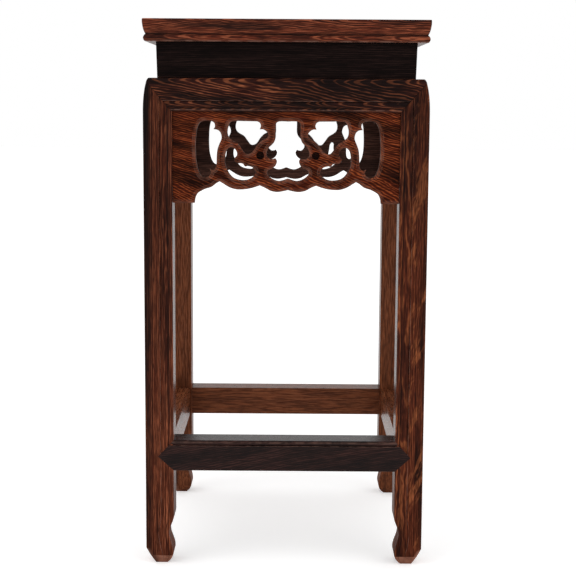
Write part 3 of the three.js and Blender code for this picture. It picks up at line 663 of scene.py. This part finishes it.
def makeWoodFigure():
    # Growth layers are slanted cylinders: layer = distance from the heart / pitch + wander + ripple.
    # Light lines follow the layers and fade along their length, and broad zones span several layers.
    # Patches are leaning flames on the side x > 0 of the heart line, where the lines are calmer.
    group = bpy.data.node_groups.new("woodFigure", "ShaderNodeTree")
    groupSockets(group, [
        ("Vector", "NodeSocketVector", (0, 0, 0)),
        ("Heart Across", "NodeSocketFloat", 0.0),
        ("Heart Depth", "NodeSocketFloat", 0.02),
        ("Slant", "NodeSocketFloat", 0.1),
        ("Pitch", "NodeSocketFloat", 0.001),
        ("Wander", "NodeSocketFloat", 2.0),
        ("Wander Across", "NodeSocketFloat", 60.0),
        ("Wander Along", "NodeSocketFloat", 20.0),
        ("Ripple", "NodeSocketFloat", 0.4),
        ("Dark", "NodeSocketColor", (0.02, 0.01, 0.01, 1)),
        ("Middle", "NodeSocketColor", (0.1, 0.04, 0.02, 1)),
        ("Light", "NodeSocketColor", (0.3, 0.12, 0.05, 1)),
        ("Darkness", "NodeSocketFloat", 0.5),
        ("Lines", "NodeSocketFloat", 0.5),
        ("Patches", "NodeSocketFloat", 0.0),
        ("Pores", "NodeSocketFloat", 0.5),
        ("Gloss", "NodeSocketFloat", 0.35),
        ("Thin", "NodeSocketFloat", 1.75),
        ("Fade", "NodeSocketFloat", 75.0),
        ("Contrast", "NodeSocketFloat", 0.55),
    ], [("Color", "NodeSocketColor"), ("Roughness", "NodeSocketFloat"), ("Height", "NodeSocketFloat")])
    links = group.links
    source = group.nodes.new("NodeGroupInput").outputs
    target = group.nodes.new("NodeGroupOutput").inputs
    split = group.nodes.new("ShaderNodeSeparateXYZ")
    links.new(source["Vector"], split.inputs[0])
    across = calc(group, "SUBTRACT", split.outputs[0], source["Heart Across"])
    sink = calc(group, "MULTIPLY", split.outputs[2], source["Slant"])
    depth = calc(group, "SUBTRACT", split.outputs[1], source["Heart Depth"])
    depth = calc(group, "SUBTRACT", depth, sink)
    square = calc(group, "MULTIPLY", across, across)
    square = calc(group, "ADD", square, calc(group, "MULTIPLY", depth, depth))
    distance = calc(group, "SQRT", square)
    slowPlace = joined(group, calc(group, "MULTIPLY", split.outputs[0], source["Wander Across"]),
                       calc(group, "MULTIPLY", split.outputs[1], source["Wander Across"]),
                       calc(group, "MULTIPLY", split.outputs[2], source["Wander Along"]))
    slow = noise(group, slowPlace, 2.0, 0.4)
    wander = calc(group, "MULTIPLY", calc(group, "SUBTRACT", slow, 0.5), source["Wander"])
    quick = noise(group, stretched(group, source["Vector"], *grain["ripple"]), 1.0, 0.5)
    ripple = calc(group, "MULTIPLY", calc(group, "SUBTRACT", quick, 0.5), source["Ripple"])
    layer = calc(group, "DIVIDE", distance, source["Pitch"])
    layer = calc(group, "ADD", layer, calc(group, "ADD", wander, ripple))
    jitterPlace = joined(group, calc(group, "MULTIPLY", layer, grain["jitterPace"]), 3.7, 1.3)
    jitter = calc(group, "MULTIPLY", noise(group, jitterPlace, 1.0, 0.5), grain["jitter"])
    turns = calc(group, "MULTIPLY", calc(group, "ADD", layer, jitter), 2 * pi)
    wave = calc(group, "SINE", turns)
    fadePlace = joined(group, calc(group, "MULTIPLY", layer, grain["fadePace"]), 0.0,
                       calc(group, "MULTIPLY", split.outputs[2], source["Fade"]))
    lineFade = calc(group, "MULTIPLY", noise(group, fadePlace, 1.0, 0.5), -grain["fadeReach"])
    threshold = calc(group, "ADD", lineFade, source["Thin"])
    line = spread(group, calc(group, "SUBTRACT", wave, threshold), 0.0, 0.7)
    zonePlace = joined(group, calc(group, "MULTIPLY", layer, grain["zonePace"]), 7.0,
                       calc(group, "MULTIPLY", split.outputs[2], grain["zoneAlong"]))
    zone = noise(group, zonePlace, 1.0, 0.5)
    bodyShare = spread(group, calc(group, "SUBTRACT", zone, source["Darkness"]), -0.12, 0.14)
    body = mixColour(group, bodyShare, source["Dark"], source["Middle"])
    gaps = spread(group, wave, -0.2, -0.95)
    body = mixColour(group, calc(group, "MULTIPLY", gaps, source["Contrast"]), body, source["Dark"])
    strength = calc(group, "ADD", 0.35, calc(group, "MULTIPLY", bodyShare, 0.65))
    flameSide = spread(group, split.outputs[0], grain["flameEdge"], 0.0)
    flameSide = calc(group, "MULTIPLY", flameSide, source["Patches"])
    calm = calc(group, "SUBTRACT", 1.0, calc(group, "MULTIPLY", flameSide, grain["calm"]))
    lineShare = calc(group, "MULTIPLY", calc(group, "MULTIPLY", line, source["Lines"]), strength)
    lineShare = calc(group, "MULTIPLY", lineShare, calm)
    lined = mixColour(group, lineShare, body, source["Light"])
    flame = [calc(group, "MULTIPLY", split.outputs[axis], grain["flame"][axis]) for axis in range(3)]
    lean = calc(group, "MULTIPLY", split.outputs[2], grain["flameLean"])
    patchPlace = joined(group, calc(group, "SUBTRACT", flame[0], lean), flame[1], flame[2])
    patch = spread(group, noise(group, patchPlace, 4.0, 0.72), 0.52, 0.61)
    patchShare = calc(group, "MULTIPLY", calc(group, "MULTIPLY", patch, flameSide),
                      calc(group, "ADD", 0.62, calc(group, "MULTIPLY", line, 0.3)))
    patched = mixColour(group, patchShare, lined, source["Light"])
    streak = noise(group, stretched(group, source["Vector"], *grain["streak"]), 2.0, 0.6)
    streakShare = spread(group, streak, 0.36, 0.66)
    lightStreak = mixColour(group, streakShare, (0.62, 0.60, 0.60, 1), (1.5, 1.5, 1.5, 1))
    streaked = mixColour(group, 1.0, patched, lightStreak, "MULTIPLY")
    pore = noise(group, stretched(group, source["Vector"], *grain["pore"]), 1.0, 0.5)
    poreShare = calc(group, "MULTIPLY", spread(group, pore, 0.58, 0.7), source["Pores"])
    links.new(mixColour(group, poreShare, streaked, source["Dark"]), target["Color"])
    rough = calc(group, "MULTIPLY", calc(group, "SUBTRACT", streak, 0.5), 0.16)
    rough = calc(group, "ADD", source["Gloss"], rough)
    links.new(calc(group, "ADD", rough, calc(group, "MULTIPLY", poreShare, 0.2)), target["Roughness"])
    height = calc(group, "ADD", calc(group, "MULTIPLY", line, 0.35), calc(group, "MULTIPLY", streak, 0.35))
    links.new(calc(group, "SUBTRACT", height, calc(group, "MULTIPLY", poreShare, 0.9)), target["Height"])
    return group


def makeHandling():
    # Painted highlights along edges and painted shade in grooves and hollows: a positive arris value lightens
    # and a negative one darkens. Places of wear and painted sheen are dull and tan, and dull ones have lost
    # their polish. Noise breaks the marks up.
    group = bpy.data.node_groups.new("handling", "ShaderNodeTree")
    groupSockets(group, [
        ("Vector", "NodeSocketVector", (0, 0, 0)),
        ("Color", "NodeSocketColor", (0.1, 0.04, 0.02, 1)),
        ("Roughness", "NodeSocketFloat", 0.4),
        ("Arris", "NodeSocketFloat", 0.0),
        ("Worn", "NodeSocketFloat", 0.0),
        ("Dull", "NodeSocketFloat", 0.0),
        ("Highlight", "NodeSocketColor", (0.3, 0.16, 0.12, 1)),
        ("Tan", "NodeSocketColor", (0.27, 0.115, 0.075, 1)),
        ("Amount", "NodeSocketFloat", 0.6),
    ], [("Color", "NodeSocketColor"), ("Roughness", "NodeSocketFloat")])
    links = group.links
    source = group.nodes.new("NodeGroupInput").outputs
    target = group.nodes.new("NodeGroupOutput").inputs
    breaks = spread(group, noise(group, stretched(group, source["Vector"], 200, 200), 3.0, 0.6), 0.38, 0.62)
    # painted highlight: a positive arris value lightens the colour towards the highlight colour
    lift = calc(group, "MULTIPLY", calc(group, "MAXIMUM", source["Arris"], 0.0), source["Amount"])
    liftBreaks = calc(group, "ADD", 0.15, calc(group, "MULTIPLY", breaks, 0.85))
    lift = calc(group, "MULTIPLY", lift, liftBreaks, clamp=True)
    # painted shade: a negative arris value darkens the colour towards near black
    paintedShade = calc(group, "MULTIPLY", calc(group, "MULTIPLY", source["Arris"], -1.0), 0.9, clamp=True)
    # wear with painted sheen and painted floor reflection: tan colour and duller polish
    wearSheenBreaks = calc(group, "ADD", 0.6, calc(group, "MULTIPLY", breaks, 0.35))
    worn = calc(group, "MULTIPLY", source["Worn"], wearSheenBreaks)
    colour = mixColour(group, worn, source["Color"], source["Tan"])
    colour = mixColour(group, lift, colour, source["Highlight"])
    links.new(mixColour(group, paintedShade, colour, (0.004, 0.003, 0.003, 1)), target["Color"])
    dullness = calc(group, "MULTIPLY", source["Dull"], 0.4)
    dullness = calc(group, "ADD", calc(group, "MULTIPLY", worn, 0.15), dullness)
    links.new(calc(group, "ADD", source["Roughness"], dullness), target["Roughness"])
    return group


woodFigure = makeWoodFigure()
handling = makeHandling()

woods = {   # colours are linear, sizes in metres
    "top": dict(
        dark=(0.013, 0.004, 0.003), middle=(0.100, 0.020, 0.009), light=(0.250, 0.070, 0.032),
        heart=(0.030, 0.080), slant=0.035, pitch=0.00050, wander=9, spreadWander=(45, 16), ripple=1.6,
        darkness=0.47, lines=0.8, thin=1.85, fade=75, contrast=0.55, patches=0.0, pores=0.6,
        gloss=0.34, specular=0.05, relief=0.3),
    # near black: the waist's colours hold painted shade of its recess under the top
    "waist": dict(
        dark=(0.0030, 0.0012, 0.0011), middle=(0.0065, 0.0028, 0.0025), light=(0.028, 0.014, 0.011),
        heart=(0.100, 0.050), slant=0.01, pitch=0.0009, wander=2, spreadWander=(60, 12), ripple=0.6,
        darkness=0.5, lines=0.4, thin=1.75, fade=75, contrast=0.55, patches=0.0, pores=0.4,
        gloss=0.45, specular=0.035, relief=0.3),
    "rail": dict(
        dark=(0.0070, 0.0028, 0.0024), middle=(0.033, 0.0074, 0.0046), light=(0.190, 0.057, 0.024),
        heart=(0.034, 0.083), slant=0.064, pitch=0.00043, wander=5, spreadWander=(60, 22), ripple=0.9,
        darkness=0.52, lines=0.85, thin=1.95, fade=75, contrast=0.5, patches=0.0, pores=0.5,
        gloss=0.30, specular=0.05, relief=0.3),
    "leg": dict(
        dark=(0.014, 0.0038, 0.0025), middle=(0.078, 0.0175, 0.0076), light=(0.250, 0.078, 0.036),
        heart=(0.0046, 0.003), slant=0.012, pitch=0.00076, wander=2.5, spreadWander=(90, 10), ripple=0.9,
        darkness=0.39, lines=0.75, thin=1.90, fade=32, contrast=0.55, patches=0.0, pores=0.6,
        gloss=0.26, specular=0.040, relief=0.3),
    "apron": dict(
        dark=(0.011, 0.0026, 0.0014), middle=(0.066, 0.0105, 0.0040), light=(0.240, 0.054, 0.015),
        heart=(0.050, 0.070), slant=0.240, pitch=0.00070, wander=6, spreadWander=(40, 20), ripple=1.3,
        darkness=0.46, lines=0.75, thin=1.85, fade=75, contrast=0.5, patches=0.0, pores=0.5,
        gloss=0.34, specular=0.028, relief=0.3),
    "stretcher": dict(
        dark=(0.007, 0.0026, 0.0022), middle=(0.018, 0.0058, 0.0046), light=(0.050, 0.020, 0.016),
        heart=(0.060, 0.060), slant=-0.200, pitch=0.00080, wander=3, spreadWander=(50, 16), ripple=0.8,
        darkness=0.5, lines=0.6, thin=1.8, fade=75, contrast=0.55, patches=0.0, pores=0.45,
        gloss=0.26, specular=0.10, relief=0.4),
    "plain": dict(
        dark=(0.050, 0.014, 0.006), middle=(0.125, 0.036, 0.014), light=(0.165, 0.060, 0.027),
        heart=(0.090, 0.030), slant=0.005, pitch=0.00080, wander=3, spreadWander=(70, 8), ripple=0.6,
        darkness=0.38, lines=0.5, thin=1.85, fade=40, contrast=0.45, patches=0.0, pores=0.45,
        gloss=0.28, specular=0.07, relief=0.6),
    "inside": dict(
        dark=(0.034, 0.015, 0.0110), middle=(0.072, 0.031, 0.0220), light=(0.112, 0.054, 0.040),
        heart=(0.090, 0.050), slant=0.03, pitch=0.00090, wander=2, spreadWander=(60, 12), ripple=0.6,
        darkness=0.45, lines=0.4, thin=1.75, fade=40, contrast=0.4, patches=0.0, pores=0.4,
        gloss=0.5, specular=0.05, relief=0.3),
}


def woodMaterial(name, wood, turn, along, origin, shift=0.0, **changes):
    # the grain's own frame: X across the face, Y into the wood, Z along the grain; turn is the side of the
    # stand, along the grain's direction on it and origin a point of the front face
    look = {**woods[wood], **changes}
    material = bpy.data.materials.new(name)
    material.use_nodes = True
    tree = material.node_tree
    shader = tree.nodes["Principled BSDF"]
    place = tree.nodes.new("ShaderNodeTexCoord")
    mapping = tree.nodes.new("ShaderNodeMapping")
    square = Matrix.Rotation(-turn * pi / 2, 3, "Z")
    if along == "x":
        square = Matrix.Rotation(-pi / 2, 3, "Y") @ square
    elif along == "y":
        square = Matrix.Rotation(pi / 2, 3, "X") @ square
    mapping.inputs["Rotation"].default_value = square.to_euler("XYZ")
    mapping.inputs["Location"].default_value = Vector((0, 0, shift)) - square @ (Vector(origin) * mm)
    tree.links.new(place.outputs["Object"], mapping.inputs["Vector"])
    figure = tree.nodes.new("ShaderNodeGroup")
    figure.node_tree = woodFigure
    tree.links.new(mapping.outputs[0], figure.inputs["Vector"])
    numbers = dict(zip(("Heart Across", "Heart Depth"), look["heart"]))
    numbers |= dict(zip(("Wander Across", "Wander Along"), look["spreadWander"]))
    numbers |= {key.capitalize(): look[key] for key in
                ("slant", "pitch", "wander", "ripple", "darkness", "lines", "patches", "pores", "gloss",
                 "thin", "fade", "contrast")}
    for socket, value in numbers.items():
        figure.inputs[socket].default_value = value
    for key in ("dark", "middle", "light"):
        figure.inputs[key.capitalize()].default_value = (*look[key], 1)
    marks = tree.nodes.new("ShaderNodeGroup")
    marks.node_tree = handling
    tree.links.new(place.outputs["Object"], marks.inputs["Vector"])
    for key in ("Color", "Roughness"):
        tree.links.new(figure.outputs[key], marks.inputs[key])
    for key in ("arris", "worn", "dull"):
        value = tree.nodes.new("ShaderNodeAttribute")
        value.attribute_name = key
        tree.links.new(value.outputs["Fac"], marks.inputs[key.capitalize()])
    bump = tree.nodes.new("ShaderNodeBump")
    bump.inputs["Strength"].default_value = look["relief"]
    bump.inputs["Distance"].default_value = 0.00012
    tree.links.new(figure.outputs["Height"], bump.inputs["Height"])
    tree.links.new(bump.outputs[0], shader.inputs["Normal"])
    tree.links.new(marks.outputs["Color"], shader.inputs["Base Color"])
    tree.links.new(marks.outputs["Roughness"], shader.inputs["Roughness"])
    shader.inputs["Specular IOR Level"].default_value = look["specular"]
    return material


def dress(piece, material):
    piece.data.materials.clear()
    piece.data.materials.append(material)


print("wood: figure made")

# Pieces

carvings = dict.fromkeys(sideNames, apronMesh(apronShape("front", 0)))
carvings["back"] = apronMesh(apronShape("back", 2))
print("aprons: outlines smoothed,", len(carvings["front"][1]), "and", len(carvings["back"][1]), "faces")

# where each piece of a side lies in its board (the level of the grain's origin, in millimetres) and how
# far apart the boards were cut, in metres
grainLevels = dict(top_frame=287, waist=272, rail=253.5, apron=220, stretcher=61)
boardShift = 0.3

for turn, side in enumerate(sideNames):
    made = dict(
        top_frame=makeSlab(turn, side), rail=makeRail(turn, side), stretcher=makeStretcher(turn, side),
        apron=makeApron(turn, side, carvings[side]), waist=nodes[f"waist_{side}"])
    for key, piece in made.items():
        wood = "top" if key == "top_frame" else key
        if key == "stretcher" and side != "front":
            wood = "plain"
        origin = turned([[0, -half, grainLevels[key]]], turn)[0]
        dress(piece, woodMaterial(f"{key}_{side}", wood, turn, "x", origin, boardShift * turn))
    # the walls of the apron's openings and its back are cut wood without polish
    apronPiece = made["apron"].data
    origin = turned([[0, -half, grainLevels["waist"]]], turn)[0]
    apronPiece.materials.append(woodMaterial(f"apron_inside_{side}", "inside", turn, "x", origin))
    apronPiece.polygons.foreach_set("material_index", carvings[side][3])
print("rails, stretchers, aprons and edges: made")

# the origin of a leg's grain, in millimetres, and how far apart the legs were cut, in metres; flamed is
# what the right front leg's wood has of its own
legOrigin = dict(across=68, level=130, shift=0.17, backShift=0.4)
flamed = dict(light=(0.235, 0.071, 0.026), heart=(-0.0046, 0.0035), slant=0.014, pitch=0.00085, wander=4,
              spreadWander=(90, 14), ripple=0.9, darkness=0.44, lines=0.6, patches=0.9)
legs = {   # quarter turn, mirror, corner shade, top shade (both painted shade), wood and what differs on that leg
    "front_left": (0, -1, 0.75, (80, 200, 0.38), "leg", {}),
    "front_right": (0, 1, 0.05, (165, 215, 0.36), "leg", flamed),
    "back_right": (2, -1, 0, (100, 200, 0), "plain", {}),
    "back_left": (2, 1, 0, (100, 200, 0), "plain", {}),
}
for corner, (quarter, mirror, cornerShade, topShade, wood, changes) in legs.items():
    piece = makeLeg(corner, quarter, mirror, cornerShade, topShade)
    origin = turned([[mirror * legOrigin["across"], -half, legOrigin["level"]]], quarter)[0]
    shift = legOrigin["backShift"] * quarter + legOrigin["shift"] * mirror
    dress(piece, woodMaterial(f"leg_{corner}", wood, quarter, "z", origin, shift, **changes))
print("legs: made")

dress(nodes["top_panel"], woodMaterial("top_panel", "top", 0, "x", (0, 0, height)))
dress(nodes["top_batten"], woodMaterial("top_batten", "plain", 0, "y", (0, 0, height)))

# Floor, lights and camera

studio = dict(world=0.9, key=1.2, fill=0.8, softbox=0.6, aim=(0, 0, 0.15), floorColour=0.9, floorGlow=0.34)


def whiteForCamera(tree):
    # 1 where the camera, a reflection or a see-through ray looks at the backdrop
    path = tree.nodes.new("ShaderNodeLightPath")
    seen = calc(tree, "MAXIMUM", path.outputs["Is Camera Ray"], path.outputs["Is Glossy Ray"])
    return calc(tree, "MAXIMUM", seen, path.outputs["Is Transmission Ray"])


def makeFloor():
    mesh = bpy.data.meshes.new("floor")
    size = 6.0
    corners = [(-size, -size, 0), (size, -size, 0), (size, size, 0), (-size, size, 0)]
    mesh.from_pydata(corners, [], [(0, 1, 2, 3)])
    floor = bpy.data.objects.new("floor", mesh)
    bpy.context.scene.collection.objects.link(floor)
    material = bpy.data.materials.new("floor")
    material.use_nodes = True
    tree = material.node_tree
    shader = tree.nodes["Principled BSDF"]
    shader.inputs["Base Color"].default_value = (studio["floorColour"],) * 3 + (1,)
    shader.inputs["Roughness"].default_value = 0.9
    shader.inputs["Specular IOR Level"].default_value = 0.1
    shader.inputs["Emission Color"].default_value = (1, 1, 1, 1)
    glow = calc(tree, "MULTIPLY", whiteForCamera(tree), studio["floorGlow"])
    tree.links.new(glow, shader.inputs["Emission Strength"])
    mesh.materials.append(material)


def makeWorld():
    world = bpy.data.worlds.new("tent")
    bpy.context.scene.world = world
    world.use_nodes = True
    tree = world.node_tree
    background = tree.nodes["Background"]
    background.inputs["Color"].default_value = (1, 1, 1, 1)
    share = whiteForCamera(tree)
    level = calc(tree, "ADD", studio["world"], calc(tree, "MULTIPLY", share, 1.0 - studio["world"]))
    tree.links.new(level, background.inputs["Strength"])


def makeLight(name, spot, power):
    data = bpy.data.lights.new(name, "AREA")
    data.shape = "SQUARE"
    data.size = studio["softbox"]
    data.energy = power
    light = bpy.data.objects.new(name, data)
    light.location = spot
    light.rotation_euler = (Vector(studio["aim"]) - Vector(spot)).to_track_quat("-Z", "Y").to_euler()
    bpy.context.scene.collection.objects.link(light)


view = dict(place=(0.0028, -0.7916, 0.2519), turn=0.0019, dip=-0.1381, roll=0.0062, lens=85.24)


def makeCamera():
    data = bpy.data.cameras.new("camera")
    data.lens = view["lens"]
    data.sensor_width = 36
    data.clip_start = 0.05
    camera = bpy.data.objects.new("camera", data)
    camera.location = view["place"]
    bearing = Matrix.Rotation(view["turn"], 3, "Z") @ Matrix.Rotation(pi / 2 + view["dip"], 3, "X")
    camera.rotation_euler = (bearing @ Matrix.Rotation(view["roll"], 3, "Z")).to_euler()
    bpy.context.scene.collection.objects.link(camera)
    bpy.context.scene.camera = camera


makeFloor()
makeWorld()
makeLight("softboxLeft", (-0.6, -0.4, 0.55), studio["key"])
makeLight("softboxRight", (0.6, -0.5, 0.45), studio["fill"])
makeCamera()
bpy.context.scene.view_settings.view_transform = "Standard"
print("studio: set")
